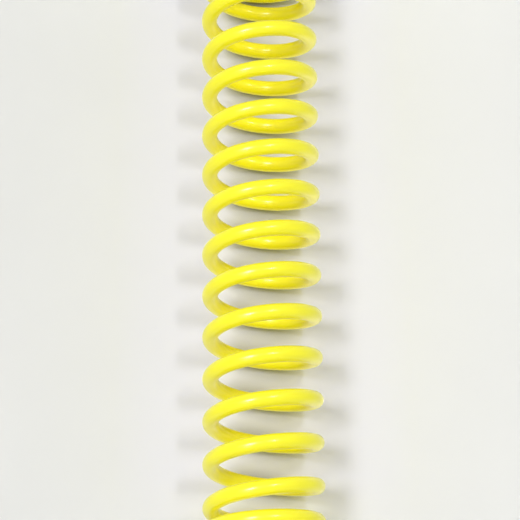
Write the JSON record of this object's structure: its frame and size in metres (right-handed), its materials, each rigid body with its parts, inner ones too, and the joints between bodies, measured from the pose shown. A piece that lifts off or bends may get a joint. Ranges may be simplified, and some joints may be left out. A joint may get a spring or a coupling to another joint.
{
  "type": "tensioner spring",
  "caption": "Open-wound helical compression spring of round wire with a yellow coat and flat ground ends, for pushing a belt or chain tensioner along its guide rod.",
  "frame": {"origin": "middle of the lower ground seat, on the coil's axis", "axes": "+Z along the coil's axis, from the lower seat to the upper one; +X towards the lower wire tip"},
  "size_m": [0.03, 0.03, 0.15],
  "materials": {
    "yellow_coat": "smooth semi-gloss yellow powder coat on steel wire"
  },
  "bodies": {
    "root": {"coil_spring": "yellow_coat"}
  },
  "joints": []
}
